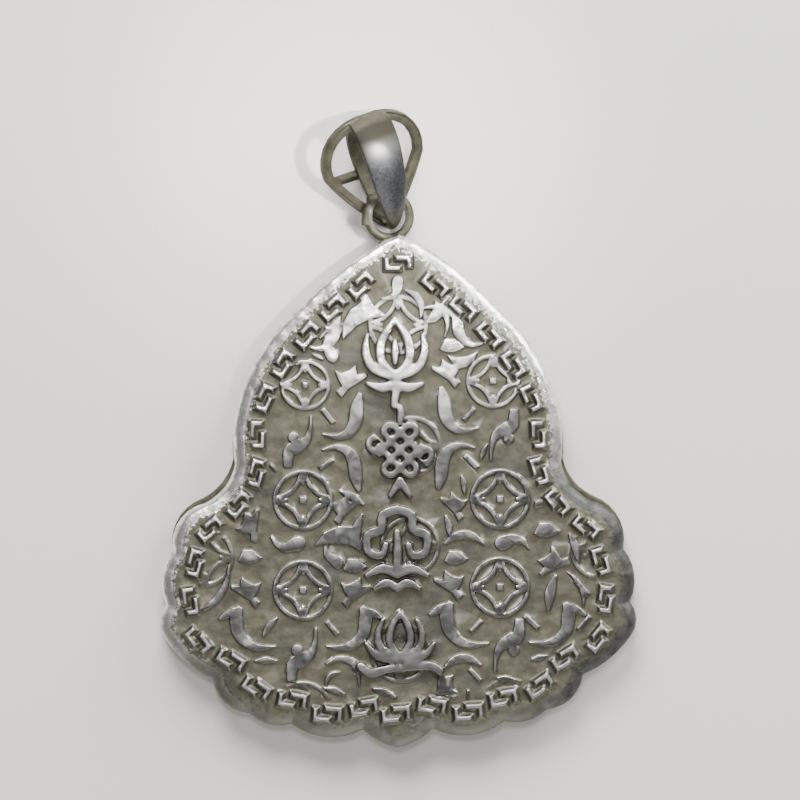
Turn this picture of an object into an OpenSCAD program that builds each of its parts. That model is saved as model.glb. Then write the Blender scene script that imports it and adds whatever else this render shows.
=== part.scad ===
// Hollow silver amulet of two stamped shells, with a hanging ring and a leaf bail.
// It lies on its plain front. The decorated back faces up, and the bail points to +Y.

/* [Body] */
// Thickness of the silver sheet
sheet = 0.6; // [0.45:0.05:0.7]
// Height of the front shell's rolled wall
shell_height = 2.6; // [2.6:0.05:2.8]
// Open seam between the front shell and the back plate
seam_gap = 0.08; // [0.07:0.01:0.15]
// Height of the back plate, from the seam to its flat field
plate_height = 1.4; // [1.2:0.1:1.8]
// Width of the rolled rim around the field
rim_width = 1.25; // [1:0.05:1.4]
// How far the front shell shows past the plate at the shoulders
shoulder_step = 0.45; // [0:0.05:0.6]
// Longest straight piece of a curved edge
edge_step = 0.95; // [0.8:0.05:1.5]

/* [Relief] */
// Height of the fret bars over the field
fret_height = 0.45; // [0.3:0.05:0.6]
// Height of the roundels and scrolls over the field
scroll_height = 0.22; // [0.15:0.01:0.35]
// Height of the four large emblems over the field
emblem_height = 0.7; // [0.5:0.05:0.9]
// Width of a fret bar at its foot
fret_bar = 0.74; // [0.66:0.02:0.8]
// Radius of a roundel
roundel_radius = 3; // [2.6:0.1:3.2]
// Width of the lines in a roundel
roundel_line = 0.4; // [0.3:0.02:0.5]

/* [Hanging ring] */
// Outer radius of the soldered ring
ring_radius = 2.65; // [2.55:0.05:2.65]
// Thickness of the ring's wire
ring_wire = 0.9; // [0.8:0.05:0.9]
// Height of the ring's wire over the table
ring_lift = 2.14; // [2.1:0.02:2.14]

/* [Bail] */
// Length of the bail from its tip to the crest of its rim
bail_length = 12.6; // [12.3:0.1:12.8]
// Greatest width of the bail's leaf, between its outer edges
bail_width = 10.8; // [10.2:0.1:11.2]
// How far the strap bows towards the viewer
strap_bow = 3; // [2.6:0.1:3.2]
// How far the rib bows the other way
rib_bow = 3.1; // [2.8:0.1:3.1]
// Width of the strap at its widest
strap_width = 4.2; // [4:0.1:4.6]
// Turn of the bail to the left
bail_turn = 12; // [8:1:14]
// Roll of the bail about its own length
bail_roll = 17; // [15:1:17]
// Rise of the bail from its tip, which lies lowest
bail_rise = 27; // [27:0.5:28]

/* [Hidden] */

SILVER = "#9b9a92";
WORN_SILVER = "#b9b9b4";
eps = 0.02;
seam = shell_height + seam_gap;
field = seam + plate_height;
relief_root = 0.25;
faint_part = 0.6;

// Columns of the tables: a place, then what the row says of it
X = 0;
Y = 1;
RISE = 2;
WIDTH = 2;
TURN = 2;

// Right half of the outline from its tip down. Each row ends an arc, and
// the arc's rise over its chord is positive where the edge bulges outwards.
function half_edge(step) = [
    [0, 25.8, 0],
    [2.4, 24.6, 0.12],
    [10.2, 18.1, 0.38],
    [16.45, 6.5, 1.2],
    [16.35 + step / 3, 2.9 + step, 0.12],
    [19.4 + step / 2, -0.95 + step, -0.6],
    [22.6, -5.8, 1.15],
    [23.25, -11.1, 0.8],
    [23.3, -14.6, 0.65],
    [18.55, -18.65, 0.45],
    [14.9, -22.1, 0.95],
    [10.7, -23.25, 0.6],
    [3.55, -23.9, 1.05],
    [0, -25.8, 0.27],
];

// Points of the arc from a to b, without a
function arc(a, b, rise, step = edge_step) = let (
    chord = norm(b - a),
    along = (b - a) / chord,
    out = [-along[Y], along[X]],
    half_angle = 2 * atan(2 * rise / chord),
    radius = chord / (2 * sin(half_angle)),
    count = ceil(chord / step)
) [for (i = [1 : count]) let (angle = half_angle * (2 * i / count - 1))
    (a + b) / 2 + radius * sin(angle) * along
        + radius * (cos(angle) - cos(half_angle)) * out];

function place(row) = [row[X], row[Y]];

// The foot leans: its left half drops from the shoulder on, and its right half lifts near the middle
foot_lean = 0.013;
left_lean_from = 3;
right_lean_from = -18;
function leans(row, side) = row[Y] < (side < 0 ? left_lean_from : right_lean_from);
function leaned(row, side) =
    [row[X], row[Y] + (leans(row, side) ? side * foot_lean * row[X] : 0)];

function edge_of(side, step) = let (rows = half_edge(step))
    [place(rows[0]), for (i = [1 : len(rows) - 1])
        each arc(leaned(rows[i - 1], side), leaned(rows[i], side), rows[i][RISE])];

// Whole outline, counter-clockwise
function outline(step = 0) = let (right = edge_of(1, step), left = edge_of(-1, step))
    [for (i = [len(right) - 1 : -1 : 0]) right[i],
        for (i = [1 : len(left) - 2]) [-left[i][X], left[i][Y]]];

// The loop moved inwards along its own normals
function inset(loop, depth) = [for (i = [0 : len(loop) - 1]) let (
        before = loop[(i + len(loop) - 1) % len(loop)],
        after = loop[(i + 1) % len(loop)],
        along = (after - before) / norm(after - before)
    ) loop[i] + depth * [-along[Y], along[X]]];

// Closed wall that follows the loop through the rows of its section
IN = 0;
UP = 1;
module wall(loop, section) {
    around = len(loop);
    rows = len(section);
    points = [for (row = section) each [for (p = inset(loop, row[IN])) [p[X], p[Y], row[UP]]]];
    faces = [for (r = [0 : rows - 1]) for (i = [0 : around - 1]) let (
        a = r * around + i,
        b = r * around + (i + 1) % around,
        c = (r + 1) % rows * around + (i + 1) % around,
        d = (r + 1) % rows * around + i
    ) each [[a, b, c], [a, c, d]]];
    polyhedron(points, faces);
}

// Smooth run through a table's rows, with the given steps for each row
function run_point(a, b, c, d, t) = 0.5 * (2 * b + (c - a) * t
    + (2 * a - 5 * b + 4 * c - d) * t * t + (3 * b - a - 3 * c + d) * t * t * t);
function smooth_run(rows, steps) = let (last = len(rows) - 1)
    [for (i = [0 : last - 1]) for (k = [0 : steps - 1])
        run_point(rows[max(i - 1, 0)], rows[i], rows[i + 1], rows[min(i + 2, last)], k / steps),
        rows[last]];

// Flat stroke of changing width: its rows are x, y and width
module stroke(rows, steps = 3) {
    run = smooth_run(rows, steps);
    last = len(run) - 1;
    sides = [for (i = [0 : last]) let (
        along = place(run[min(i + 1, last)] - run[max(i - 1, 0)]),
        out = [-along[Y], along[X]] / norm(along)
    ) out * run[i][WIDTH] / 2];
    polygon([for (i = [0 : last]) place(run[i]) + sides[i],
        for (i = [last : -1 : 0]) place(run[i]) - sides[i]]);
}

round_facets = 14;

// Stroke with a round end where it is broad
module round_stroke(rows, steps = 3) {
    stroke(rows, steps);
    for (end = [rows[0], rows[len(rows) - 1]])
        if (end[WIDTH] > 0.3)
            translate(place(end))
                circle(d = end[WIDTH] * 0.99, $fn = round_facets);
}

module both_sides() {
    children();
    mirror([1, 0])
        children();
}

// Scroll shapes of the field, each about its own middle

module wing() {
    stroke([
        [0.35, 1.5, 0.5],
        [0.75, 0.7, 1.25],
        [0.7, -0.3, 1.3],
        [0.5, -1.2, 1.15],
        [-0.3, -2.1, 0.95],
        [-1.5, -2.55, 0.6],
        [-3.2, -2.4, 0.12],
    ]);
    stroke([
        [0.5, 1, 1],
        [1.5, 0.85, 0.8],
        [2.5, 0.3, 0.2],
    ]);
}

module sickle() {
    stroke([
        [-3.3, 0.5, 0.14],
        [-2, 0.8, 0.5],
        [-0.8, 0.4, 0.95],
        [-0.1, -0.7, 1.3],
        [0.1, -2.2, 1.25],
        [0.4, -3.6, 0.4],
    ]);
}

module slim_sickle() {
    stroke([
        [-1.8, -0.2, 0.12],
        [-0.6, 0.35, 0.5],
        [0.6, 0.1, 0.7],
        [1.35, -1, 0.4],
        [1.55, -2.4, 0.14],
    ]);
}

module sabre() {
    stroke([
        [-2.7, -0.5, 0.12],
        [-1.2, 0.1, 0.5],
        [0.4, 0.2, 0.7],
        [1.8, -0.2, 0.5],
        [2.7, -0.75, 0.14],
    ]);
}

module bat() {
    stroke([
        [1.3, 2.6, 0.25],
        [1.25, 1.3, 0.4],
        [0.8, 0.1, 0.85],
        [-0.1, -0.45, 1.3],
        [-0.9, -1, 1.15],
        [-1, -2.5, 0.8],
    ]);
    translate([-0.45, 0.45])
        circle(d = 1.05, $fn = round_facets);
}

module fishtail() {
    polygon([
        [-1.4, 0.85],
        [-0.8, 0.65],
        [-0.1, 0.9],
        [0.5, 1.35],
        [0.7, 0.5],
        [1.55, 0.6],
        [1.65, 0.3],
        [0.7, -0.3],
        [-0.2, -0.9],
        [-0.8, -1.7],
        [-1.3, -1.1],
        [-0.75, -0.6],
        [-1.15, 0.1],
    ]);
}

module comma() {
    round_stroke([
        [-1.7, 0.85, 0.14],
        [-1.15, 0.1, 0.5],
        [-0.3, -0.25, 0.85],
        [0.6, 0.05, 1.3],
        [1.05, 0.2, 1.35],
    ]);
}

module cap() {
    polygon([
        [-1.2, -0.45],
        [-0.7, 0.6],
        [0.25, 0.6],
        [1.2, -0.2],
        [0.6, -0.55],
        [0, -0.7],
        [-0.7, -0.65],
    ]);
}

module leaf() {
    stroke([
        [-1.25, 0, 0.14],
        [0, 0.12, 0.7],
        [1.25, 0, 0.14],
    ]);
}

module crescent() {
    stroke([
        [-2, -0.6, 0.14],
        [-1.05, 0.1, 0.65],
        [0, 0.35, 0.85],
        [1.05, 0.1, 0.65],
        [2, -0.6, 0.14],
    ]);
}

module bar() {
    square([1.8, 0.45], center = true);
}

// Broad flat with a hollow edge
module sail() {
    polygon([
        [-2.6, -1],
        [-1.7, 0.25],
        [-0.2, 0.9],
        [1.1, 0.85],
        [2.2, 1.7],
        [1.9, -0.2],
        [2.3, -1.8],
        [1, -1.05],
        [-0.6, -0.75],
    ]);
}

// Where each scroll sits: x, y, its turn, its size, and -1 if it is flipped
SIZE = 3;
FLIP = 4;

WINGS = [
    [-4, -13.1, 0, 1, 1],
    [-15.4, -13.1, 0, 1, -1],
    [5.7, -12.7, 0, 1.05, -1],
    [16.3, -12.7, 0, 1, 1],
];
SICKLES = [
    [-4.2, 6.2, 180, 1, -1],
    [4.7, 6.8, 180, 1, 1],
    [-4.3, 3.6, 0, 1, 1],
    [4.4, 3.8, 0, 1, -1],
    [-6.3, 14.9, 180, 0.85, -1],
    [6, 15.3, 180, 0.85, 1],
];
SLIM_SICKLES = [
    [-5.4, -17.1, 0, 1, 1],
    [4.1, 17.9, -20, 0.9, 1],
];
SABRES = [
    [-17.8, -10, 240, 1, 1],
    [18.1, -9.6, -62, 0.7, 1],
];
BATS = [
    [-10, 4.9, 0, 1, 1],
    [10.6, 5.7, 180, 1, 1],
    [-9.6, -16.4, 0, 1.05, 1],
    [11.1, -15.4, 180, 1.05, 1],
];
FISHTAILS = [
    [-4.3, -10, 0, 1, 1],
    [-15.1, -10, 0, 1, -1],
    [5.2, -9.3, 0, 1, -1],
    [-14.7, -3.3, 50, 1, 1],
    [4.9, 11.9, 0, 0.95, -1],
    [-4.8, 11.1, 0, 1.05, 1],
    [-5.4, -1.7, 10, 0.95, 1],
    [5.6, -1.4, -10, 0.9, -1],
    [15.4, -7.2, 60, 1, -1],
    [4.6, -19.4, -62, 0.95, -1],
];
COMMAS = [
    [-11, -5.4, 0, 1, 1],
    [11.4, -5, 180, 1, 1],
    [-6.7, -6.5, -55, 0.85, 1],
    [-0.3, 20.1, 60, 0.85, 1],
    [-6.9, 14.4, -80, 0.9, 1],
];
CAPS = [
    [-14.8, -6.5, 0, 1, 1],
    [-4.3, -7.4, 0, 1, 1],
    [5.8, -6.6, 0, 1, 1],
    [14.9, -3.8, 0, 1.1, 1],
    [14.1, -1.2, 20, 0.5, 1],
    [5.4, 14.6, 0, 1, 1],
];
LEAVES = [
    [-12.8, -13.6, 52, 0.95, 1],
    [-13.2, -17, 0, 0.9, 1],
    [14.2, -16.7, 8, 0.75, 1],
    [17.6, -5.7, -72, 1.2, 1],
    [-4, -3.6, 72, 1.1, 1],
    [5, -3.6, -78, 0.95, 1],
    [-6.4, -20, -18, 0.9, 1],
    [10.8, -18.8, -6, 0.75, 1],
    [-1.4, -20.2, -20, 1, 1],
    [-12.6, 2.4, -50, 0.5, 1],
    [-4.6, -0.7, -30, 1.1, 1],
    [6.5, 0.6, -80, 0.8, 1],
    [-8, 13.4, -25, 0.5, 1],
    [15.4, -10.2, 78, 1.5, 1],
    [-7.2, 16, 50, 0.8, 1],
    [8.6, 3.9, 68, 0.7, 1],
];
CRESCENTS = [
    [6.6, -4.7, 0, 1, 1],
    [6.4, -17, 4, 0.95, 1],
    [-6.7, -18.6, 45, 0.5, 1],
    [1.9, 18.9, -62, 0.8, 1],
    [5.4, 17.4, -48, 0.8, 1],
];
BARS = [
    [-7, 7.5, -52, 1, 1],
    [7.1, 7.7, 50, 0.9, 1],
    [7.3, 2.9, -45, 1, 1],
    [-7.2, 2.7, 35, 0.9, 1],
    [-6.6, -13.7, -50, 0.95, 1],
    [7.8, -13.5, 45, 0.85, 1],
    [13.3, -13.1, -42, 1.05, 1],
    [18.4, -9.7, -50, 1.1, 1],
    [18.6, -13.2, 48, 1, 1],
    [7, -20.3, 90, 0.5, 1],
    [7.7, -18.4, -48, 0.9, 1],
    [5.2, -20.6, 8, 0.8, 1],
    [-14.6, 0.9, 70, 0.7, 1],
];

SAILS = [
    [-5.7, -4.4, 0, 1, 1],
    [-4.1, 17.5, 38, 1, 1],
    [4.2, 18.2, -118, 0.8, -1],
    [6.6, 12.9, 196, 0.6, 1],
];

module scatter(rows) {
    for (row = rows)
        translate(place(row))
            rotate(row[TURN])
                mirror([row[FLIP] == -1 ? 1 : 0, 0])
                    scale(row[SIZE])
                        children();
}

module raise(height) {
    translate([0, 0, field - relief_root])
        linear_extrude(relief_root + height)
            children();
}

module scrolls() {
    scatter(WINGS) wing();
    scatter(SICKLES) sickle();
    scatter(SLIM_SICKLES) slim_sickle();
    scatter(SABRES) sabre();
    scatter(BATS) bat();
    scatter(FISHTAILS) fishtail();
    scatter(COMMAS) comma();
    scatter(CAPS) cap();
    scatter(LEAVES) leaf();
    scatter(CRESCENTS) crescent();
    scatter(BARS) bar();
    scatter(SAILS) sail();
}

// Fret units of the border: x, y, turn and size of the right half, mirrored in place only
FRETS = [
    [3.7, 20.6, 42, 1],
    [6.5, 18.3, 42, 1],
    [9.1, 15.6, 50, 1],
    [11.5, 12.7, 58, 1],
    [13.3, 9.3, 66, 1],
    [14.05, 5.65, 88, 1],
    [14.15, 2, 74, 1],
    [15.95, -1.15, 50, 1],
    [18.8, -3.6, 40, 1],
    [20.3, -7, 74, 1],
    [20.75, -10.8, 98, 1],
    [20, -14.75, 129, 1.02],
    [16.7, -16.7, 148, 1.05],
    [14.15, -19.5, 146, 1.05],
    [10.55, -20.7, 170, 1.07],
    [7.05, -22.1, 176, 1.08],
    [3.4, -21.45, 190, 1.06],
];
TOP_FRET = [0, 22.8, 0, 1];
BOTTOM_FRET = [-0.2, -22.3, 185, 1.08];
fret_length = 3;
fret_depth = 1.78;
upright_part = 0.86;
long_part = 0.64;
// A bar's sides lean in: its foot stands this high, and its crown is this much narrower on each side
fret_foot = 0.2;
fret_lean = 0.16;
// Below the shoulders the left half's units sit lower than the right half's
left_drop = 0.2;
drop_from = 3;

// One unit: two bent bars, each the other turned half round
module fret_unit(margin = 0) {
    far = fret_bar - margin;
    for (half_turn = [0, 180])
        rotate(half_turn)
            translate([-fret_length / 2, -fret_depth / 2])
                polygon([
                    [margin, margin],
                    [fret_length * long_part - margin, margin],
                    [fret_length * long_part - margin, far],
                    [far, far],
                    [far, fret_depth * upright_part - margin],
                    [margin, fret_depth * upright_part - margin],
                ]);
}

function fret_drop(row, side) = side < 0 && row[Y] < drop_from ? left_drop : 0;

module fret_border() {
    scatter([TOP_FRET, BOTTOM_FRET, for (side = [1, -1]) for (row = FRETS)
        [side * row[X], row[Y] - fret_drop(row, side), -side * row[TURN], row[SIZE]]])
        children();
}

// Low relief stops short of every fret unit
fret_margin = 0.2;
module beside_frets() {
    difference() {
        children();
        fret_border() square([fret_length, fret_depth] + 2 * [fret_margin, fret_margin], center = true);
    }
}

// Roundels with a coin pattern: a ring, four arcs turned inwards and a small square.
// Columns of the tables: x, y, turn and size.
ROUNDELS = [
    [-9.3, 10.6, 0, 0.84],
    [9.5, 11, 0, 0.9],
    [-9.5, -0.9, 0, 1],
    [10.2, -0.8, 0, 1],
    [-9.5, -9.9, 0, 1],
    [10.2, -9.6, 0, 1],
];
FAINT_ROUNDELS = [
    [0, 16.6, 0, 1],
    [1.4, 4.5, 0, 1],
    [1.2, -5.5, 0, 1],
    [0.2, -16.2, 0, 1],
    [-19.4, -6.6, 0, 1],
    [20.2, -5.9, 0, 1],
    [-9.5, -22, 0, 1],
    [11.1, -21.7, 0, 1],
];
// The border covers the roundels beyond this distance from the edge
border_width = 3.9;
petal_bar = [0.4, 0.85];
petal_place = 0.66;
coin_square = 1.6;
ring_sides = 48;

module line_ring(radius, line) {
    difference() {
        circle(radius, $fn = ring_sides);
        circle(radius - line, $fn = ring_sides);
    }
}

module roundel() {
    line_ring(roundel_radius, roundel_line);
    intersection() {
        circle(roundel_radius - roundel_line / 2, $fn = ring_sides);
        for (turn = [45 : 90 : 315])
            rotate(turn)
                translate([roundel_radius * sqrt(2), 0])
                    line_ring(roundel_radius, roundel_line);
    }
    for (turn = [0 : 90 : 270])
        rotate(turn)
            translate([0, roundel_radius * petal_place])
                square(petal_bar, center = true);
    square(roundel_line * coin_square, center = true);
}

module faint_roundels(loop) {
    beside_frets()
        intersection() {
            scatter(FAINT_ROUNDELS) roundel();
            polygon(inset(loop, border_width));
        }
}

// Large emblems: four traditional ornaments of broad rounded strokes

module lotus_bud() {
    both_sides() {
        round_stroke([[0, -1.6, 0.7], [-1.15, -0.3, 0.75], [-1.1, 1.5, 0.75], [0, 3.3, 0.4]]);
        round_stroke([[0, -1.6, 0.7], [-1.8, -0.9, 0.8], [-2.5, 0.5, 0.7], [-2.35, 1.9, 0.35]]);
        round_stroke([[0, -2.2, 0.6], [-1.1, -2.5, 0.8], [-2.3, -2.2, 0.35]]);
    }
    round_stroke([[0, -1.4, 0.8], [0.1, -2.6, 0.75], [-0.1, -4, 0.6]]);
    round_stroke([[0, -0.4, 0.4], [0, 0.5, 0.65], [0, 1.4, 0.4]]);
}

knot_pitch = 1.05;
knot_reach = 1.7;
knot_line = 0.52;
module endless_knot() {
    rotate(45)
        for (side = [0, 180])
            rotate(side) {
                for (way = [0, 1])
                    mirror([way, -way]) {
                        translate([-knot_reach, knot_pitch - knot_line / 2])
                            square([2 * knot_reach, knot_line]);
                        translate([knot_reach, knot_pitch / 2])
                            half_ring(knot_pitch / 2);
                    }
                translate([-knot_reach, -knot_line / 2])
                    square([2 * knot_reach, knot_line]);
                translate([-knot_line / 2, -knot_reach])
                    square([knot_line, 2 * knot_reach]);
                corner_bend();
            }
    round_stroke([[0, 2.4, 0.5], [0.05, 3, 0.6], [0, 3.6, 0.45]]);
    both_sides()
        round_stroke([[0, -2.5, 0.55], [-0.35, -3.1, 0.6], [-0.8, -3.8, 0.4]]);
}

module half_ring(radius) {
    intersection() {
        line_ring(radius + knot_line / 2, knot_line);
        translate([0, -2 * radius])
            square([4 * radius, 4 * radius]);
    }
}

// Bend that joins the ends of two crossing lines at the knot's side
module corner_bend() {
    translate([knot_pitch, -knot_reach])
        intersection() {
            line_ring(knot_reach - knot_pitch + knot_line / 2, knot_line);
            translate([-knot_line, -2 * knot_line])
                square([3 * knot_line, 3 * knot_line]);
        }
}

module cloud_head() {
    both_sides() {
        round_stroke([[0, 3.2, 0.7], [-1.2, 2.7, 0.8], [-1.35, 1.5, 0.8], [-2.5, 1, 0.75],
            [-2.4, -0.4, 0.7], [-1.3, -0.7, 0.65], [-0.95, 0.2, 0.5]]);
        round_stroke([[0, -2.3, 0.75], [-1.2, -1.8, 0.8], [-2.6, -2.4, 0.35]]);
        round_stroke([[0, -3.5, 0.6], [-0.9, -3, 0.7], [-1.9, -3.5, 0.35]]);
    }
    round_stroke([[0, 1.3, 0.5], [0.05, -0.4, 0.75], [0, -2.3, 0.7]]);
}

module open_lotus() {
    both_sides() {
        round_stroke([[0, -1.5, 0.65], [-0.95, -0.1, 0.7], [-0.8, 1.4, 0.65], [0, 2.8, 0.4]]);
        round_stroke([[-0.2, -1.6, 0.7], [-1.7, -0.7, 0.75], [-2.1, 0.7, 0.65], [-1.6, 2.1, 0.35]]);
        round_stroke([[-0.3, -1.7, 0.7], [-2.2, -1.3, 0.75], [-3.2, -0.1, 0.35]]);
    }
    round_stroke([[-3.7, -2.3, 0.8], [-2.8, -2.9, 0.85], [-1, -2.5, 0.7], [1.2, -2.35, 0.7],
        [2.8, -2.2, 0.85], [3.7, -2.7, 0.8]]);
}

// Place, turn and size of each emblem
BUD_PLACE = [-0.3, 13.3, 0, 1.18];
KNOT_PLACE = [0.2, 4.1, 0, 1.2];
CLOUD_PLACE = [-0.1, -5.6, 0, 1.18];
LOTUS_PLACE = [0.2, -15.1, 0, 1.06];

module emblems() {
    scatter([BUD_PLACE]) lotus_bud();
    scatter([KNOT_PLACE]) endless_knot();
    scatter([CLOUD_PLACE]) cloud_head();
    scatter([LOTUS_PLACE]) open_lotus();
}

module back_plate() {
    loop = outline();
    rolled = [
        [rim_width + 0.25, field - eps],
        [rim_width * 0.8, field - 0.05],
        [rim_width * 0.44, field - 0.2],
        [rim_width * 0.16, field - 0.5],
        [0.02, field - 0.9],
        [0, seam],
        [sheet, seam],
        [sheet + 0.1, field - 0.95],
        [sheet + 0.45, field - sheet - 0.1],
        [rim_width + 0.25, field - sheet - eps],
    ];
    color(WORN_SILVER) {
        wall(loop, rolled);
        translate([0, 0, field - sheet])
            linear_extrude(sheet)
                polygon(inset(loop, rim_width));
        raise(fret_foot)
            fret_border() fret_unit();
        raise(fret_height)
            fret_border() fret_unit(fret_lean);
        raise(scroll_height)
            beside_frets() {
                scrolls();
                scatter(ROUNDELS) roundel();
            }
        raise(scroll_height * faint_part)
            faint_roundels(loop);
        raise(emblem_height)
            emblems();
    }
}

// Front shell, with the ring soldered into its tip

RING_PLACE = [-0.95, 27.6];
ring_tilt = 16;

module hanging_ring() {
    translate([each RING_PLACE, ring_lift])
        rotate([0, ring_tilt, 0])
            rotate_extrude($fn = 64)
                translate([ring_radius - ring_wire / 2, 0])
                    circle(d = ring_wire, $fn = 24);
}

module front_shell() {
    loop = outline(shoulder_step);
    rolled = [
        [rim_width + 0.25, sheet],
        [sheet + 0.45, sheet + 0.12],
        [sheet + 0.1, sheet + 0.4],
        [sheet, shell_height],
        [0, shell_height],
        [0, 1.2],
        [0.1, 0.65],
        [0.35, 0.3],
        [0.8, 0.08],
        [rim_width + 0.25, eps],
    ];
    color(SILVER) {
        wall(loop, rolled);
        linear_extrude(sheet)
            polygon(inset(loop, rim_width));
        hanging_ring();
    }
}

// Bail: a broad strap on the near side and an open leaf with rib and crossbar on the far side

bail_wall = 0.72;
rim_band = 1.05;
TIP = [-0.85, 26.85, 0.98];
leaf_dish = 1.2;
dish_swell = 0.6;
widest_part = 0.54;
bail_step = 0.95;
low_rise = -0.35;
high_rise = -1.9;

// Lofts a section along stations; a station is its place, across and near directions, and width
PLACE = 0;
ACROSS = 1;
NEAR = 2;
BREADTH = 3;
module loft(stations, section, closed) {
    sides = len(section);
    count = len(stations);
    points = [for (s = stations) each [for (p = section)
        s[PLACE] + p[X] * s[BREADTH] * s[ACROSS] + p[Y] * s[NEAR]]];
    spans = closed ? count : count - 1;
    walls = [for (s = [0 : spans - 1]) for (i = [0 : sides - 1]) let (
        a = s * sides + i,
        b = s * sides + (i + 1) % sides,
        c = (s + 1) % count * sides + (i + 1) % sides,
        d = (s + 1) % count * sides + i
    ) each [[a, b, c], [a, c, d]]];
    ends = closed ? [] : [
        [for (i = [sides - 1 : -1 : 0]) i],
        [for (i = [0 : sides - 1]) (count - 1) * sides + i],
    ];
    polyhedron(points, concat(walls, ends));
}

crown_steps = 8;
crown_fall = 1.6;

// Section of a strip with a flat underside and a rounded upper side
function crowned(thick) = [
    [0.5, -thick / 2],
    for (i = [0 : crown_steps]) let (across = 0.5 - i / crown_steps)
        [across, thick * (0.5 - crown_fall * across * across)],
    [-0.5, -thick / 2],
];

// Band of the leaf's rim, with a groove near its outer edge
function grooved(thick) = [
    [0.5, -thick / 2],
    [0.5, thick * 0.35],
    [0.42, thick / 2],
    [0.3, thick / 2],
    [0.22, thick * 0.32],
    [0.1, thick / 2],
    [-0.42, thick / 2],
    [-0.5, thick * 0.35],
    [-0.5, -thick / 2],
];

function dish(y) = -leaf_dish * pow(max(sin(180 * y / bail_length), 0), dish_swell);

// Centre line of the leaf's right rim, from the tip to the crest
function leaf_half() = let (
    side = (bail_width - rim_band) / 2,
    crest = bail_length - rim_band / 2,
    low = arc([0, rim_band / 2], [side, bail_length * widest_part], low_rise, bail_step),
    high = arc([side, bail_length * widest_part], [0, crest], high_rise, bail_step)
) [[0, rim_band / 2], each low, each high];

module leaf_rim() {
    half = leaf_half();
    last = len(half) - 1;
    flat_loop = [for (i = [0 : last]) half[i],
        for (i = [last - 1 : -1 : 1]) [-half[i][X], half[i][Y]]];
    around = len(flat_loop);
    loop = [for (p = flat_loop) [p[X], p[Y], dish(p[Y])]];
    stations = [for (i = [0 : around - 1]) let (
        along = loop[(i + 1) % around] - loop[(i + around - 1) % around],
        across = cross(along, [0, 0, 1]) / norm(cross(along, [0, 0, 1])),
        near = cross(across, along) / norm(along)
    ) [loop[i], across, near, rim_band]];
    loft(stations, grooved(bail_wall), true);
}

strap_steps = 44;
strap_overrun = -12;

// Share of the full breadth at equal steps from the crest to the tip
STRAP_TAPER = [0.9, 1, 0.98, 0.84, 0.55, 0.26, 0.15];
RIB_TAPER = [1.1, 1, 0.7];

function taper(shares, part) = lookup(part, [for (i = [0 : len(shares) - 1])
    [i / (len(shares) - 1), shares[i]]]);

// Stations of a bowed strip between crest and tip.
// The skew moves the fullest part of the bow towards the crest.
function bowed(bow, reach, steps, shares, breadth, end_trim, skew) = [for (i = [0 : steps]) let (
        part = i / steps,
        angle = end_trim + (180 - 2 * end_trim) * part,
        middle = bail_length / 2,
        rate = [0, -reach * sin(angle), bow * (cos(angle) + skew * cos(2 * angle))],
        along = rate / norm(rate),
        across = [bow < 0 ? 1 : -1, 0, 0]
    ) [
        [0, middle + reach * cos(angle), bow * sin(angle) * (1 + skew * cos(angle))],
        across,
        cross(across, along),
        breadth * taper(shares, part),
    ]];

module strap() {
    reach = (bail_length - bail_wall) / 2;
    loft(bowed(strap_bow, reach, strap_steps, STRAP_TAPER, strap_width, strap_overrun, 0),
        crowned(bail_wall), false);
}

rib_width = 1.7;
rib_lean = 14;
rib_steps = 20;
rib_trim = 4;
rib_skew = 0.6;
module rib() {
    reach = (bail_length - rim_band) / 2;
    loft(bowed(-rib_bow, reach, rib_steps, RIB_TAPER, rib_width, rib_trim, rib_skew),
        crowned(bail_wall), false);
}

crossbar_steps = 16;
crossbar_dip = 0.9;
crossbar_level = 0.5;
crossbar_reach = 0.94;
crossbar_sink = 0.97;
crossbar_wall = 0.9;
crossbar_run = 1.05;

// The bar across the leaf: it runs from the left side and sinks to the rib in the middle
module crossbar() {
    reach = crossbar_reach * (bail_width - rim_band) / 2;
    level = bail_length * crossbar_level;
    side_depth = dish(level);
    sink = crossbar_sink * rib_bow + side_depth;
    stations = [for (i = [0 : crossbar_steps]) let (
        part = crossbar_run * i / crossbar_steps - 1,
        lift = cos(90 * part),
        fall = sink * PI / 2 * sin(90 * part) / reach,
        along = [1, 0, fall] / norm([1, 0, fall])
    ) [
        [part * reach, level - crossbar_dip * lift, side_depth - sink * lift],
        [0, -1, 0],
        cross([0, -1, 0], along),
        1,
    ]];
    loft(stations, crowned(bail_wall * crossbar_wall), false);
}

module bail() {
    color(SILVER)
        translate(TIP)
            rotate(bail_turn)
                rotate([bail_rise, 0, 0])
                    rotate([0, bail_roll, 0])
                        translate([0, -rim_band / 2, 0])
                            union() {
                                leaf_rim();
                                strap();
                                rotate([0, rib_lean, 0])
                                    rib();
                                crossbar();
                            }
}

front_shell();
back_plate();
bail();
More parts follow.
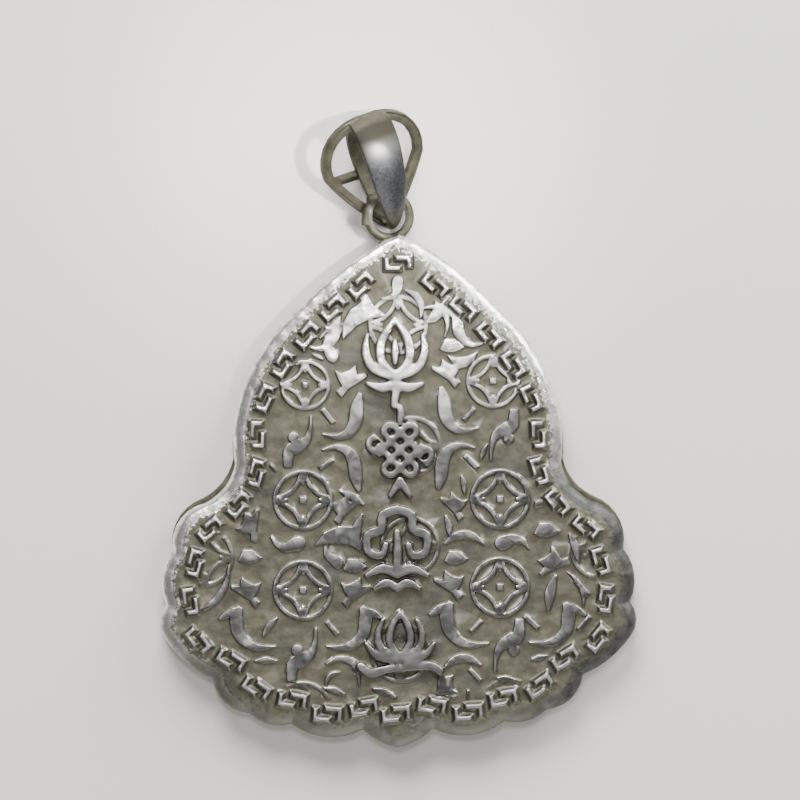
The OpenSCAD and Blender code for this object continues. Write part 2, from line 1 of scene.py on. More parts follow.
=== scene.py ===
"""Hollow stamped silver amulet: plain pressed shell, stamped plate, soldered wire ring and leaf bail."""
import math
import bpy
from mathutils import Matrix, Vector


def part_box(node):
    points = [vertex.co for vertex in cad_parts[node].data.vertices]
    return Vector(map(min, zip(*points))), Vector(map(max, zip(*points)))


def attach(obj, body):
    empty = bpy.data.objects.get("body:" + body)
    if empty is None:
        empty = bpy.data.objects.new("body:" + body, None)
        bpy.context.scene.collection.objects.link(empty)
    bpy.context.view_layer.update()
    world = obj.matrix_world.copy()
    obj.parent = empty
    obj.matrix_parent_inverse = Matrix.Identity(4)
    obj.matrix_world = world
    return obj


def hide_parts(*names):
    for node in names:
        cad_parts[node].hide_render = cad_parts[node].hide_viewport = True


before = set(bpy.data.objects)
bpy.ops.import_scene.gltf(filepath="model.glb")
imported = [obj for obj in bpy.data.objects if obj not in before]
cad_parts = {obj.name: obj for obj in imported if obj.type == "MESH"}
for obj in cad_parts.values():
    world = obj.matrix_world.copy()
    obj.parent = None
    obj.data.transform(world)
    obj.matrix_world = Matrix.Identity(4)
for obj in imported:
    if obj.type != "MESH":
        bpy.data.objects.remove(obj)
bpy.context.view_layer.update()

from types import SimpleNamespace

import bpy
from mathutils import Euler, Matrix, Vector, kdtree

MM = 0.001

# Heights of the stamped plate: its relief over the field, the field itself, and the plate's widest row
EMBLEM_HEIGHT = 0.7 * MM
SCROLL_HEIGHT = 0.22 * MM
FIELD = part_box("back_plate")[1].z - EMBLEM_HEIGHT
EDGE_ROW = FIELD - 0.9 * MM

# The border of frets runs between these distances from the plate's edge, in millimetres
FRET_FROM = 1.4
FRET_TO = 4.3

# The foot's tip is rounded by wear below this line and this far to both sides
FOOT_TIP_TOP = -21.5 * MM
FOOT_TIP_REACH = 4 * MM

# The crumb of solder at the left edge
CRUMB_RADIUS = 0.5 * MM
CRUMB_PLACE = (-16.35 * MM, 5.4 * MM, EDGE_ROW - 0.3 * MM)

# The ring's open wire end: where it starts, how thick and how bent it is, and which way it goes
STUB_START = Vector((-3.05 * MM, 27.95 * MM, 2.75 * MM))
STUB_RADIUS = 0.54 * MM
STUB_END_RADIUS = 1.12 * STUB_RADIUS
STUB_BEND = 5.1 * MM
STUB_LEAN = math.radians(12)
STUB_TURN = math.radians(15)

# Where the bail chafes the ring, seen from above, and the ring's inner lips get a painted highlight. Each
# pair runs from none to full
RING_MIDDLE = Vector((-0.95 * MM, 27.6 * MM))
CHAFE_HIGHLIGHT_INNER_RADII = (1.3 * MM, 1.6 * MM)
CHAFE_HIGHLIGHT_OUTER_RADII = (1.97 * MM, 1.86 * MM)
CHAFE_HIGHLIGHT_REACH = (1.3 * MM, 0.7 * MM)

# The bail's tip, and its turns about the table's normal, its tip and its own length
BAIL_TIP = Vector((-0.85, 26.85, 0.98)) * MM
BAIL_TURN = math.radians(12)
BAIL_RISE = math.radians(27)
BAIL_ROLL = math.radians(17)

# The bail's strap begins at the first height over its leaf, and all above the second is strap
STRAP_HEIGHTS = (0.6 * MM, 1.4 * MM)

# Where the strap is rubbed smooth: from and to, along the bail, each with a soft end. Past its far end the
# strap gets painted shade
RUBBED_FROM = 2 * MM
RUBBED_TO = 9.2 * MM
RUBBED_FADE = 1.3 * MM

# The crown of the strap's bow, seen from above, which is smoothest, and where a paler patch makes a painted
# highlight
STRAP_HIGHLIGHT_CROWN = Vector((-1.95 * MM, 33.9 * MM))
POLISH_HIGHLIGHT_REACH = 2.6 * MM

# The side the painted light falls from, up towards the ring and a little to the left: relief edges turned to
# it get a painted highlight, slopes and hollows turned from it painted shade
LIT_SIDE = (-0.45, 0.9, 0)

# The photo's frame on the plate's field, and the camera's lens
PHOTO_MIDDLE = (0.2 * MM, 9.1 * MM)
PHOTO_WIDTH = 80 * MM
LENS = 180
SENSOR = 36


def take(piece):
    """Makes the piece the only one selected."""
    bpy.ops.object.select_all(action="DESELECT")
    piece.select_set(True)
    bpy.context.view_layer.objects.active = piece
    return piece


def edit(piece, everything=True):
    """Opens the piece in edit mode with all or nothing selected."""
    take(piece)
    bpy.ops.object.mode_set(mode="EDIT")
    bpy.ops.mesh.select_mode(type="FACE")
    bpy.ops.mesh.select_all(action="SELECT" if everything else "DESELECT")


def done():
    """Closes the piece that is open in edit mode."""
    bpy.ops.object.mode_set(mode="OBJECT")


def choose(piece, wanted):
    """Selects the faces of the open piece whose centre and normal pass the test."""
    done()
    for face in piece.data.polygons:
        face.select = wanted(face.center, face.normal)
    bpy.ops.object.mode_set(mode="EDIT")


def modify(piece, kind, **settings):
    """Adds a modifier and applies it."""
    take(piece)
    modifier = piece.modifiers.new(kind.title(), kind)
    for name, value in settings.items():
        setattr(modifier, name, value)
    bpy.ops.object.modifier_apply(modifier=modifier.name)


def copy_of(node, name):
    """A merged copy of a CAD node's mesh as a piece of its own."""
    piece = bpy.data.objects.new(name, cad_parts[node].data.copy())
    bpy.context.scene.collection.objects.link(piece)
    piece.data.materials.clear()
    edit(piece)
    bpy.ops.mesh.remove_doubles(threshold=0.002 * MM)
    done()
    return piece


def joined(piece, *others):
    """Joins the other pieces into the first."""
    take(piece)
    for other in others:
        other.select_set(True)
    bpy.ops.object.join()
    return piece


def recast(piece, grain, passes):
    """Casts the piece anew as one even skin, with its edges softened as by stamping and wear."""
    take(piece)
    piece.data.remesh_voxel_size = grain
    piece.data.remesh_voxel_adaptivity = 0
    bpy.ops.object.voxel_remesh()
    modify(piece, "SMOOTH", factor=0.5, iterations=passes)


def wear_round(piece, wanted, passes):
    """Rounds the chosen faces as wear does, and leaves the rest."""
    edit(piece, everything=False)
    choose(piece, wanted)
    bpy.ops.mesh.vertices_smooth(factor=0.5, repeat=passes)
    done()


def thin_out(piece, hidden, hidden_share, most):
    """Keeps few faces where the piece is hidden, and at most so many triangles in all."""
    edit(piece, everything=False)
    choose(piece, hidden)
    bpy.ops.mesh.decimate(ratio=hidden_share)
    done()
    triangles = sum(len(face.vertices) - 2 for face in piece.data.polygons)
    if triangles > most:
        modify(piece, "DECIMATE", ratio=most / triangles)


def dent(piece, size, depth, octaves):
    """Uneven hammering of a given size and depth, straight up and down."""
    clouds = bpy.data.textures.new(piece.name + "_dents", "CLOUDS")
    clouds.noise_basis = "IMPROVED_PERLIN"
    clouds.noise_scale = size
    clouds.noise_depth = octaves
    modify(piece, "DISPLACE", texture=clouds, texture_coords="LOCAL", direction="Z",
           strength=depth, mid_level=0.5)


def measure(piece, name, amount):
    """Stores for each vertex an amount that follows from its place."""
    spread = piece.data.attributes.new(name, "FLOAT", "POINT")
    for vertex in piece.data.vertices:
        spread.data[vertex.index].value = amount(vertex.co)


def share(value, low, high):
    """How far the value is on its way from low to high, from 0 to 1."""
    return min(max((value - low) / (high - low), 0), 1)


def smooth_shade(piece):
    """Shades the piece smooth all over."""
    take(piece)
    bpy.ops.object.shade_smooth()


# Stamped plate

def outline_of_plate():
    """Points close together along the plate's widest row, for measuring how far a spot is from the edge."""
    mesh = copy_of("back_plate", "outline").data
    same_height = 0.01 * MM
    steps = 8
    row = {v.index for v in mesh.vertices if abs(v.co.z - EDGE_ROW) < same_height}
    points = []
    for edge in mesh.edges:
        if row.issuperset(edge.vertices):
            start, end = (mesh.vertices[i].co for i in edge.vertices)
            points += [start.lerp(end, step / steps) for step in range(steps)]
    tree = kdtree.KDTree(len(points))
    for index, point in enumerate(points):
        tree.insert((point.x, point.y, 0), index)
    tree.balance()
    bpy.data.objects.remove(bpy.data.objects["outline"])
    return tree


def from_edge(tree, spot):
    """Distance of a spot from the plate's edge, in millimetres."""
    return tree.find((spot.x, spot.y, 0))[2] / MM


def solder_crumb():
    """A crumb of solder left beside the rim at the left, where the seam was mended."""
    bpy.ops.object.select_all(action="DESELECT")
    bpy.ops.mesh.primitive_ico_sphere_add(subdivisions=2, radius=CRUMB_RADIUS, scale=(0.6, 1.1, 0.7),
                                          location=CRUMB_PLACE, rotation=(0.3, 0.2, 0.4))
    return bpy.context.object


def stamped_plate():
    """The stamped plate, worn round: the frets a little, the tall emblems more, and the foot's tip most."""
    plate = joined(copy_of("back_plate", "stamped_plate"), solder_crumb())
    recast(plate, grain=0.1 * MM, passes=2)
    tree = outline_of_plate()
    above_field = FIELD + 0.05 * MM
    above_scrolls = FIELD + SCROLL_HEIGHT + 0.08 * MM
    wear_round(plate, lambda centre, normal: centre.z > above_field
               and FRET_FROM < from_edge(tree, centre) < FRET_TO, passes=5)
    wear_round(plate, lambda centre, normal: centre.z > above_scrolls
               and from_edge(tree, centre) > FRET_TO, passes=9)
    wear_round(plate, lambda centre, normal: normal.z > -0.2 and abs(centre.x) < FOOT_TIP_REACH
               and centre.y < FOOT_TIP_TOP and from_edge(tree, centre) < FRET_FROM, passes=14)
    underside = FIELD - 0.35 * MM
    thin_out(plate, lambda centre, normal: normal.z < -0.5 and centre.z < underside,
             hidden_share=0.04, most=194000)
    dent(plate, size=1.6 * MM, depth=0.02 * MM, octaves=2)
    measure(plate, "from_edge", lambda spot: from_edge(tree, spot))
    smooth_shade(plate)
    return plate


# Pressed shell and its ring

def wire_stub():
    """The ring's open wire end, which stands out a little beside the joint."""
    bpy.ops.object.select_all(action="DESELECT")
    facing = Euler((math.radians(90), 0, -STUB_LEAN))
    bpy.ops.mesh.primitive_circle_add(vertices=24, radius=STUB_RADIUS, fill_type="NGON",
                                      location=STUB_START, rotation=facing)
    stub = bpy.context.object
    centre = STUB_START + STUB_BEND * Vector((math.cos(STUB_LEAN), -math.sin(STUB_LEAN), 0))
    edit(stub)
    bpy.ops.mesh.spin(steps=8, angle=-STUB_TURN, center=centre, axis=(0, 0, 1))
    done()
    take(stub)
    bpy.ops.object.transform_apply()
    end = centre + Matrix.Rotation(-STUB_TURN, 3, "Z") @ (STUB_START - centre)
    for place, radius in ((STUB_START, STUB_RADIUS), (end, STUB_END_RADIUS)):
        bpy.ops.object.select_all(action="DESELECT")
        bpy.ops.mesh.primitive_uv_sphere_add(segments=24, ring_count=12, radius=radius, location=place)
        joined(stub, bpy.context.object)
    return stub


def chafing_and_highlight(spot):
    """How much the ring's inner side is painted pale, left and right, where the bail swings against it: wear
    with a painted highlight.
    """
    out = spot.xy - RING_MIDDLE
    inner_side = share(out.length, *CHAFE_HIGHLIGHT_OUTER_RADII) * share(out.length, *CHAFE_HIGHLIGHT_INNER_RADII)
    return inner_side * share(abs(out.y), *CHAFE_HIGHLIGHT_REACH)


def pressed_shell():
    """The plain shell with its ring. Its floor's inner side, which can't be seen, keeps few faces."""
    shell = joined(copy_of("front_shell", "pressed_shell"), wire_stub())
    recast(shell, grain=0.12 * MM, passes=3)
    above_floor = 1 * MM
    thin_out(shell, lambda centre, normal: normal.z > 0.5 and centre.z < above_floor,
             hidden_share=0.04, most=150000)
    measure(shell, "chafed_and_highlit", chafing_and_highlight)
    smooth_shade(shell)
    return shell


# Bail

def bail_place():
    """Turns a point of the bail's own frame, with +Y along it and +Z towards the viewer, to its place."""
    return (Matrix.Translation(BAIL_TIP) @ Matrix.Rotation(BAIL_TURN, 4, "Z")
            @ Matrix.Rotation(BAIL_RISE, 4, "X") @ Matrix.Rotation(BAIL_ROLL, 4, "Y"))


def on_strap(spot):
    """How much a spot in the bail's own frame belongs to the strap and not to the leaf."""
    return share(spot.z, *STRAP_HEIGHTS)


def rubbing(spot):
    """How much the strap is rubbed there by the wearer's clothes."""
    return (on_strap(spot) * share(spot.y, RUBBED_FROM - RUBBED_FADE, RUBBED_FROM + RUBBED_FADE)
            * share(spot.y, RUBBED_TO + RUBBED_FADE, RUBBED_TO - RUBBED_FADE))


def strap_top_shading(spot):
    """How much painted shade the strap's bend gets there, behind the rubbed part."""
    return on_strap(spot) * share(spot.y, RUBBED_TO - RUBBED_FADE, RUBBED_TO + RUBBED_FADE)


def polish_and_highlight_at(place, spot):
    """How much the strap is smoothed and painted paler round its crown, wear with a painted highlight, from a
    place and the same spot in the bail's frame.
    """
    near = share((place.xy - STRAP_HIGHLIGHT_CROWN).length, POLISH_HIGHLIGHT_REACH, 0)
    return on_strap(spot) * near * near * (3 - 2 * near)


def leaf_bail():
    """The bail, with its strap smoothed by wear, and its rubbed part, its painted shade and its painted
    highlight measured.
    """
    bail = copy_of("bail", "leaf_bail")
    recast(bail, grain=0.065 * MM, passes=5)
    own_frame = bail_place().inverted()
    strap_side = 0.4 * MM
    wear_round(bail, lambda centre, normal: (own_frame @ centre).z > strap_side, passes=30)
    measure(bail, "rubbed", lambda spot: rubbing(own_frame @ spot))
    measure(bail, "strap_top_shade", lambda spot: strap_top_shading(own_frame @ spot))
    measure(bail, "polish_and_highlight", lambda spot: polish_and_highlight_at(spot, own_frame @ spot))
    smooth_shade(bail)
    return bail


# Materials

def linear(colour):
    """Linear colour from an sRGB hex value."""
    parts = [int(colour[i:i + 2], 16) / 255 for i in (1, 3, 5)]
    return [c / 12.92 if c <= 0.04045 else ((c + 0.055) / 1.055) ** 2.4 for c in parts] + [1]


def add(tree, kind, inputs=None, **settings):
    """Adds a node with its settings, and fills its inputs with values or other nodes' outputs."""
    made = tree.nodes.new(kind)
    for name, value in settings.items():
        setattr(made, name, value)
    for key, value in (inputs or {}).items():
        if isinstance(value, bpy.types.NodeSocket):
            tree.links.new(value, made.inputs[key])
        else:
            made.inputs[key].default_value = value
    return made


def new_material(name):
    """An empty material and its node tree."""
    material = bpy.data.materials.new(name)
    material.use_nodes = True
    tree = material.node_tree
    tree.nodes.clear()
    return material, tree


# Stamped silver: masks, marks and colours, each mask from 0 to 1

def plate_shape(tree, coordinates):
    """Masks that follow from the plate's own shape: raised, steep, hollow or on an edge, and turned to or
    from the side of the painted light.
    """
    height = add(tree, "ShaderNodeSeparateXYZ", {0: coordinates["Object"]}).outputs["Z"]
    facing_up = add(tree, "ShaderNodeSeparateXYZ", {0: coordinates["Normal"]}).outputs["Z"]
    # Facing the side of the painted light
    facing_light = add(tree, "ShaderNodeVectorMath", {
        0: coordinates["Normal"], 1: LIT_SIDE}, operation="DOT_PRODUCT").outputs["Value"]
    point = add(tree, "ShaderNodeNewGeometry").outputs["Pointiness"]
    relief = add(tree, "ShaderNodeMapRange", {
        "Value": height, "From Min": FIELD + 0.07 * MM, "From Max": FIELD + 0.17 * MM},
        interpolation_type="SMOOTHSTEP").outputs[0]
    proud = add(tree, "ShaderNodeMapRange", {
        "Value": height, "From Min": FIELD + 0.24 * MM, "From Max": FIELD + 0.4 * MM}).outputs[0]
    crown = add(tree, "ShaderNodeMapRange", {
        "Value": facing_up, "From Min": 0.89, "From Max": 0.97}).outputs[0]
    flat = add(tree, "ShaderNodeMapRange", {
        "Value": facing_up, "From Min": 0.75, "From Max": 0.93, "To Min": 0.1}).outputs[0]
    flank = add(tree, "ShaderNodeMapRange", {
        "Value": facing_up, "From Min": 0.95, "From Max": 0.78}).outputs[0]
    # Turned from the painted light: slopes and hollows here get painted shade
    turned_from_light = add(tree, "ShaderNodeMapRange", {
        "Value": facing_light, "From Min": 0.3, "From Max": -0.15, "To Min": 0.3}).outputs[0]
    # Turned to the painted light: convex edges here get a painted highlight
    turned_to_light = add(tree, "ShaderNodeMapRange", {
        "Value": facing_light, "From Min": -0.1, "From Max": 0.3, "To Min": 0.1}).outputs[0]
    hollow = add(tree, "ShaderNodeMapRange", {
        "Value": point, "From Min": 0.485, "From Max": 0.43, "To Max": 0.75}).outputs[0]
    bend = add(tree, "ShaderNodeMapRange", {
        "Value": point, "From Min": 0.51, "From Max": 0.55}).outputs[0]
    return SimpleNamespace(
        relief=relief,
        crowned=add(tree, "ShaderNodeMath", {0: proud, 1: crown}, operation="MULTIPLY").outputs[0],
        flat_relief=add(tree, "ShaderNodeMath", {0: relief, 1: flat}, operation="MULTIPLY").outputs[0],
        # Painted shade on flanks and in hollows turned from the light
        in_shade=add(tree, "ShaderNodeMath", {0: flank, 1: turned_from_light}, operation="MULTIPLY").outputs[0],
        shaded_hollow=add(tree, "ShaderNodeMath", {0: hollow, 1: turned_from_light}, operation="MULTIPLY").outputs[0],
        # Painted highlight on convex edges turned to the light
        lit_ridge=add(tree, "ShaderNodeMath", {0: bend, 1: turned_to_light}, operation="MULTIPLY").outputs[0])


def plate_places(tree, where):
    """The distance from the plate's edge in millimetres, and masks for the parts of the plate."""
    axes = add(tree, "ShaderNodeSeparateXYZ", {0: where}).outputs
    edge = add(tree, "ShaderNodeAttribute", attribute_name="from_edge").outputs["Fac"]
    # Higher towards the top left, the side of the painted light
    leftward = add(tree, "ShaderNodeMath", {0: axes["X"], 1: -0.5}, operation="MULTIPLY").outputs[0]
    upper_left = add(tree, "ShaderNodeMath", {0: axes["Y"], 1: leftward}, operation="ADD").outputs[0]
    return SimpleNamespace(
        edge=edge,
        inside=add(tree, "ShaderNodeMapRange", {
            "Value": edge, "From Min": 1.2, "From Max": 1.5}).outputs[0],
        in_border=add(tree, "ShaderNodeMapRange", {
            "Value": edge, "From Min": FRET_TO, "From Max": FRET_TO - 0.1}).outputs[0],
        up_the_border=add(tree, "ShaderNodeMapRange", {
            "Value": axes["Y"], "From Min": -22 * MM, "From Max": 8 * MM, "To Min": 0.35}).outputs[0],
        # Towards the ring, where the relief is painted whiter, wear with a painted highlight, and the
        # border's slopes darker, painted shade
        near_ring=add(tree, "ShaderNodeMapRange", {
            "Value": axes["Y"], "From Min": 5 * MM, "From Max": 14 * MM}).outputs[0],
        # The top left, where the rim gets a painted highlight
        upper=add(tree, "ShaderNodeMapRange", {
            "Value": upper_left, "From Min": -8 * MM, "From Max": 1 * MM}).outputs[0],
        right_side=add(tree, "ShaderNodeMapRange", {
            "Value": axes["X"], "From Min": 10 * MM, "From Max": 17 * MM}).outputs[0])


def plate_marks(tree, where):
    """Noise as large as the marks that age leaves: smudges of 5 mm, mottling of 1.3 mm, specks of 0.4 mm."""
    return SimpleNamespace(
        smudge=add(tree, "ShaderNodeTexNoise", {
            "Vector": where, "Scale": 1 / (5 * MM), "Detail": 5, "Roughness": 0.62}).outputs[0],
        mottle=add(tree, "ShaderNodeTexNoise", {
            "Vector": where, "Scale": 1 / (1.3 * MM), "Detail": 6, "Roughness": 0.7}).outputs[0],
        speckle=add(tree, "ShaderNodeTexNoise", {
            "Vector": where, "Scale": 1 / (0.4 * MM), "Detail": 4, "Roughness": 0.7}).outputs[0])


def dulled_sheet(tree, marks, shape):
    """The sheet's colour where nothing rubs it: mottled olive field, grey smudges, and grey on the relief."""
    field = add(tree, "ShaderNodeMix", {
        0: add(tree, "ShaderNodeMapRange", {
            "Value": marks.mottle, "From Min": 0.36, "From Max": 0.64}).outputs[0],
        6: linear("#5b594c"), 7: linear("#706e60")}, data_type="RGBA").outputs[2]
    smudged = add(tree, "ShaderNodeMix", {
        0: add(tree, "ShaderNodeMapRange", {
            "Value": marks.smudge, "From Min": 0.5, "From Max": 0.64, "To Max": 0.65}).outputs[0],
        6: field, 7: linear("#52514d")}, data_type="RGBA").outputs[2]
    return add(tree, "ShaderNodeMix", {
        0: shape.relief, 6: smudged, 7: linear("#4e4e4d")}, data_type="RGBA").outputs[2]


def rolled_rim(tree, marks, places):
    """The rim's mask with its ragged inner border, its rubbed part, white with wear and a painted highlight
    on the top left, and its colour, darker at the right.
    """
    flecks = add(tree, "ShaderNodeMath", {0: marks.speckle, 1: 0.5}, operation="SUBTRACT").outputs[0]
    ragged = add(tree, "ShaderNodeMath", {
        0: add(tree, "ShaderNodeMath", {0: flecks, 1: 3}, operation="MULTIPLY").outputs[0],
        1: places.edge}, operation="ADD").outputs[0]
    band = add(tree, "ShaderNodeMapRange", {
        "Value": ragged, "From Min": 1.35, "From Max": 1.1}).outputs[0]
    streaked = add(tree, "ShaderNodeMapRange", {
        "Value": marks.mottle, "From Min": 0.36, "From Max": 0.5, "To Min": 0.35}).outputs[0]
    # White on the rim's top left only: wear with a painted highlight
    rubbed = add(tree, "ShaderNodeMath", {
        0: add(tree, "ShaderNodeMath", {0: band, 1: places.upper}, operation="MULTIPLY").outputs[0],
        1: streaked}, operation="MULTIPLY").outputs[0]
    tarnished = add(tree, "ShaderNodeMix", {
        0: add(tree, "ShaderNodeMapRange", {
            "Value": marks.mottle, "From Min": 0.4, "From Max": 0.6}).outputs[0],
        6: linear("#464642"), 7: linear("#60605e")}, data_type="RGBA").outputs[2]
    colour = add(tree, "ShaderNodeMix", {
        0: places.right_side, 6: linear("#74736a"), 7: tarnished}, data_type="RGBA").outputs[2]
    return SimpleNamespace(band=band, rubbed=rubbed, colour=colour)


def rubbed_and_highlit_relief(tree, marks, shape, places):
    """How much the relief is painted white: its flats near the ring and its crowns, more towards the ring,
    both as wear with a painted highlight, and its edges turned to the light as a painted highlight.
    """
    near_ring = places.near_ring
    uneven = add(tree, "ShaderNodeMapRange", {
        "Value": marks.smudge, "From Min": 0.4, "From Max": 0.55, "To Min": 0.3}).outputs[0]
    flats = add(tree, "ShaderNodeMath", {
        0: add(tree, "ShaderNodeMath", {0: near_ring, 1: uneven}, operation="MULTIPLY").outputs[0],
        1: shape.flat_relief}, operation="MULTIPLY").outputs[0]
    border = add(tree, "ShaderNodeMath", {
        0: places.in_border, 1: places.up_the_border}, operation="MULTIPLY").outputs[0]
    # Crowns whiter towards the ring: wear with a painted highlight
    whiter_upwards = add(tree, "ShaderNodeMath", {
        0: add(tree, "ShaderNodeMath", {0: border, 1: near_ring}, operation="MAXIMUM").outputs[0],
        1: 0.1}, operation="MAXIMUM").outputs[0]
    crowns = add(tree, "ShaderNodeMath", {0: shape.crowned, 1: whiter_upwards}, operation="MULTIPLY").outputs[0]
    # Painted highlight on the edges turned to the light
    edges = add(tree, "ShaderNodeMath", {
        0: add(tree, "ShaderNodeMath", {0: shape.lit_ridge, 1: places.inside}, operation="MULTIPLY").outputs[0],
        1: add(tree, "ShaderNodeMapRange", {
            "Value": places.in_border, "To Min": 0.6, "To Max": 0.25}).outputs[0]},
        operation="MULTIPLY").outputs[0]
    return add(tree, "ShaderNodeMath", {
        0: add(tree, "ShaderNodeMath", {0: flats, 1: crowns}, operation="MAXIMUM").outputs[0],
        1: edges}, operation="MAXIMUM").outputs[0]


def plate_bumps(tree, where, marks, worn):
    """The thin sheet's slow waves of 1.8 mm, and on them fine pits, shallower where the sheet is worn."""
    waves = add(tree, "ShaderNodeTexNoise", {
        "Vector": where, "Scale": 1 / (1.8 * MM), "Detail": 1.5, "Roughness": 0.5}).outputs[0]
    uneven_sheet = add(tree, "ShaderNodeBump", {
        "Height": waves, "Strength": 0.7, "Distance": 0.3 * MM}).outputs[0]
    pitting = add(tree, "ShaderNodeMapRange", {"Value": worn, "To Min": 0.35, "To Max": 0.2}).outputs[0]
    return add(tree, "ShaderNodeBump", {
        "Height": marks.speckle, "Strength": pitting, "Distance": 0.04 * MM,
        "Normal": uneven_sheet}).outputs[0]


def stamped_aged_silver():
    """Sheet silver stamped in a die. It gives the eye a matt olive ground with grey satin relief, painted
    shade on the relief's slopes and hollows turned from the light, white metal where clothes rub the rim and
    the high spots, and painted highlights on the rim's top left, on the relief towards the ring and on its
    edges turned to the light."""
    material, tree = new_material("stamped_aged_silver")
    coordinates = add(tree, "ShaderNodeTexCoord").outputs
    where = coordinates["Object"]
    shape = plate_shape(tree, coordinates)
    places = plate_places(tree, where)
    marks = plate_marks(tree, where)
    rim = rolled_rim(tree, marks, places)
    # White where rubbed, with the painted highlights on the rim and relief
    worn = add(tree, "ShaderNodeMath", {
        0: rim.rubbed, 1: rubbed_and_highlit_relief(tree, marks, shape, places)}, operation="MAXIMUM").outputs[0]
    dull = add(tree, "ShaderNodeMix", {
        0: rim.band, 6: dulled_sheet(tree, marks, shape), 7: rim.colour}, data_type="RGBA").outputs[2]
    # Painted shade on slopes turned from the light, darkest in the border near the ring
    upper_border = add(tree, "ShaderNodeMath", {
        0: places.in_border, 1: places.near_ring}, operation="MULTIPLY").outputs[0]
    slope = add(tree, "ShaderNodeMix", {
        0: upper_border, 6: linear("#6d6a5f"), 7: linear("#443e31")}, data_type="RGBA").outputs[2]
    shaded = add(tree, "ShaderNodeMix", {
        0: add(tree, "ShaderNodeMath", {
            0: shape.in_shade, 1: places.inside}, operation="MULTIPLY").outputs[0],
        6: dull, 7: slope}, data_type="RGBA").outputs[2]
    bright = add(tree, "ShaderNodeMix", {
        0: worn, 6: shaded, 7: linear("#f8f7f2")}, data_type="RGBA").outputs[2]
    # Painted shade in hollows turned from the light
    colour = add(tree, "ShaderNodeMix", {
        0: shape.shaded_hollow, 6: bright, 7: linear("#4d473a")}, data_type="RGBA").outputs[2]
    matt = add(tree, "ShaderNodeMapRange", {
        "Value": shape.relief, "To Min": 0.58, "To Max": 0.48}).outputs[0]
    rough = add(tree, "ShaderNodeMix", {0: worn, 2: matt, 3: 0.27}).outputs[0]
    shader = add(tree, "ShaderNodeBsdfPrincipled", {
        "Base Color": colour, "Metallic": 1.0, "Roughness": rough,
        "Normal": plate_bumps(tree, where, marks, worn)}).outputs[0]
    add(tree, "ShaderNodeOutputMaterial", {"Surface": shader})
    return material


# Plain silver of the shell, the ring and the bail

def strap_silver(tree, speckle, polish_and_highlight):
    """The strap's colour where clothes rub it: fine dark and light grain, and paler on the crown, a painted
    highlight.
    """
    grainy = add(tree, "ShaderNodeMix", {
        0: add(tree, "ShaderNodeMapRange", {
            "Value": speckle, "From Min": 0.38, "From Max": 0.62}).outputs[0],
        6: linear("#434445"), 7: linear("#5a5b5d")}, data_type="RGBA").outputs[2]
    # Painted highlight: the crown is paler
    return add(tree, "ShaderNodeMix", {
        0: polish_and_highlight, 6: grainy, 7: linear("#707173")}, data_type="RGBA").outputs[2]


def drawn_aged_silver():
    """Plain sheet and drawn wire of silver. It gives the eye a matt olive grey with smudges of 1.6 mm and
    pits of 0.3 mm, dark in its grooves, and smooth where strap and ring are rubbed. The strap's top has
    painted shade, and the strap's crown and the ring's inner lips are paler with a painted highlight."""
    material, tree = new_material("drawn_aged_silver")
    where = add(tree, "ShaderNodeTexCoord").outputs["Object"]
    point = add(tree, "ShaderNodeNewGeometry").outputs["Pointiness"]
    groove = add(tree, "ShaderNodeMapRange", {
        "Value": point, "From Min": 0.48, "From Max": 0.42}).outputs[0]
    smudge = add(tree, "ShaderNodeTexNoise", {
        "Vector": where, "Scale": 1 / (1.6 * MM), "Detail": 5, "Roughness": 0.65}).outputs[0]
    speckle = add(tree, "ShaderNodeTexNoise", {
        "Vector": where, "Scale": 1 / (0.3 * MM), "Detail": 4, "Roughness": 0.7}).outputs[0]
    rubbed, strap_top_shade, polish_and_highlight, chafed_and_highlit = (
        add(tree, "ShaderNodeAttribute", attribute_name=name).outputs["Fac"]
        for name in ("rubbed", "strap_top_shade", "polish_and_highlight", "chafed_and_highlit"))
    aged = add(tree, "ShaderNodeMix", {
        0: add(tree, "ShaderNodeMapRange", {
            "Value": smudge, "From Min": 0.35, "From Max": 0.65}).outputs[0],
        6: linear("#49473c"), 7: linear("#676556")}, data_type="RGBA").outputs[2]
    # Painted shade on the strap's top
    aged_and_shaded = add(tree, "ShaderNodeMix", {
        0: strap_top_shade, 6: aged, 7: linear("#33312b")}, data_type="RGBA").outputs[2]
    strap = add(tree, "ShaderNodeMix", {
        0: rubbed, 6: aged_and_shaded, 7: strap_silver(tree, speckle, polish_and_highlight)}, data_type="RGBA").outputs[2]
    # Wear with a painted highlight on the ring's inner lips
    bright = add(tree, "ShaderNodeMix", {
        0: chafed_and_highlit, 6: strap, 7: linear("#bdbcb6")}, data_type="RGBA").outputs[2]
    colour = add(tree, "ShaderNodeMix", {
        0: groove, 6: bright, 7: linear("#38332a")}, data_type="RGBA").outputs[2]
    smooth = add(tree, "ShaderNodeMapRange", {
        "Value": add(tree, "ShaderNodeMath", {0: rubbed, 1: chafed_and_highlit}, operation="MAXIMUM").outputs[0],
        "To Min": 0.6, "To Max": 0.43}).outputs[0]
    rough = add(tree, "ShaderNodeMix", {0: polish_and_highlight, 2: smooth, 3: 0.3}).outputs[0]
    pits = add(tree, "ShaderNodeBump", {
        "Height": speckle, "Strength": 0.45, "Distance": 0.03 * MM}).outputs[0]
    shader = add(tree, "ShaderNodeBsdfPrincipled", {
        "Base Color": colour, "Metallic": 1.0, "Roughness": rough, "Normal": pits}).outputs[0]
    add(tree, "ShaderNodeOutputMaterial", {"Surface": shader})
    return material


def pale_board():
    """Matt painted board, which gives the eye a plain pale ground."""
    material, tree = new_material("pale_board")
    shader = add(tree, "ShaderNodeBsdfPrincipled", {
        "Base Color": linear("#dddbd6"), "Roughness": 0.9}).outputs[0]
    add(tree, "ShaderNodeOutputMaterial", {"Surface": shader})
    return material


# The scene

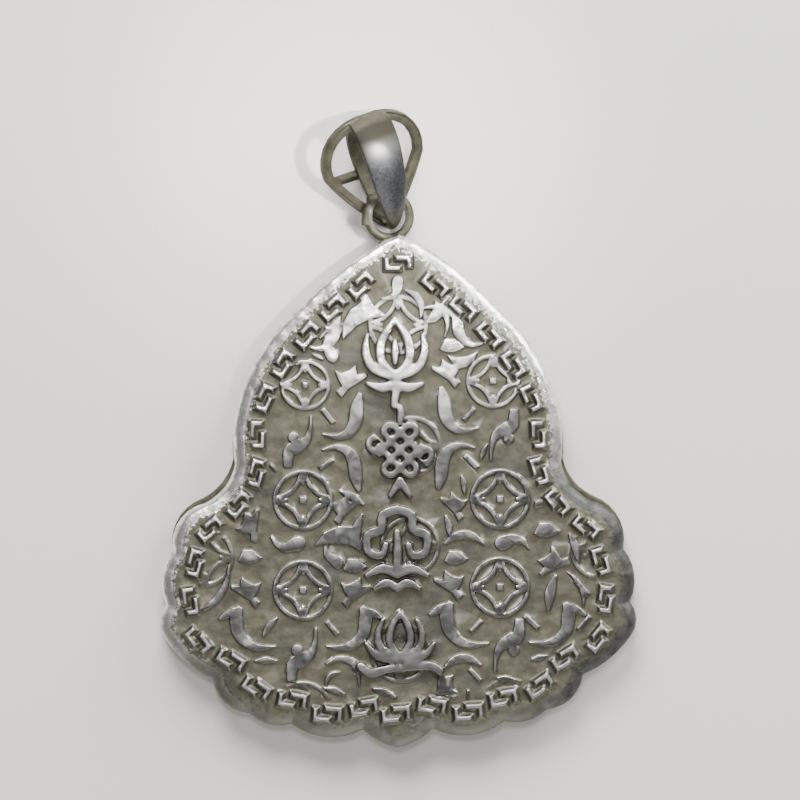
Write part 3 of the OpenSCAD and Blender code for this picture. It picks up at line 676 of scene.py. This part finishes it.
def stage():
    """The pale floor that the pendant lies on."""
    bpy.ops.object.select_all(action="DESELECT")
    bpy.ops.mesh.primitive_plane_add(size=1.2, location=(0, 0, 0))
    floor = bpy.context.object
    floor.name = "floor"
    floor.data.materials.append(pale_board())


def light(name, place, size, watts, aim=(0, 0, 0), spread=180):
    """A soft round lamp that looks at the middle of the body, or a gridded one with a narrow beam."""
    bpy.ops.object.light_add(type="AREA", location=place)
    lamp = bpy.context.object
    lamp.name = name
    lamp.data.shape = "DISK"
    lamp.data.size = size
    lamp.data.energy = watts
    lamp.data.spread = math.radians(spread)
    lamp.rotation_euler = (Vector(aim) - Vector(place)).to_track_quat("-Z", "Y").to_euler()


def studio_air(strength):
    """The even white light of the room."""
    world = bpy.data.worlds.new("studio")
    world.use_nodes = True
    background = world.node_tree.nodes["Background"]
    background.inputs["Color"].default_value = (1, 1, 1, 1)
    background.inputs["Strength"].default_value = strength
    bpy.context.scene.world = world


def camera():
    """Looks straight down, so far off that the photo's width fits on the plate's field."""
    height = FIELD + PHOTO_WIDTH * LENS / SENSOR
    bpy.ops.object.camera_add(location=(*PHOTO_MIDDLE, height), rotation=(0, 0, 0))
    bpy.context.object.data.lens = LENS
    bpy.context.object.data.sensor_width = SENSOR
    bpy.context.scene.camera = bpy.context.object


plate = stamped_plate()
shell = pressed_shell()
bail = leaf_bail()
plate.data.materials.append(stamped_aged_silver())
drawn = drawn_aged_silver()
shell.data.materials.append(drawn)
bail.data.materials.append(drawn)

for piece, node, slot in (
    (plate, "back_plate", "plate_silver"),
    (shell, "front_shell", "shell_silver"),
    (bail, "bail", "bail_silver"),
):
    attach(piece, "root")
    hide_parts(node)

stage()

# Places and sizes of the lights are in metres
light("window", (-0.05, 0.3, 0.24), size=0.22, watts=3)
light("side_window", (0.22, 0.22, 0.12), size=0.22, watts=1.6)
light("lamp", (-0.01, 0.09, 0.42), size=0.06, watts=0.45)
light("strap_lamp", (0.156, 0.024, 0.32), size=0.02, watts=0.006, aim=(-0.002, 0.034, 0.006), spread=9)
light("bounce", (0.05, -0.3, 0.15), size=0.3, watts=0.7)
studio_air(0.18)
camera()
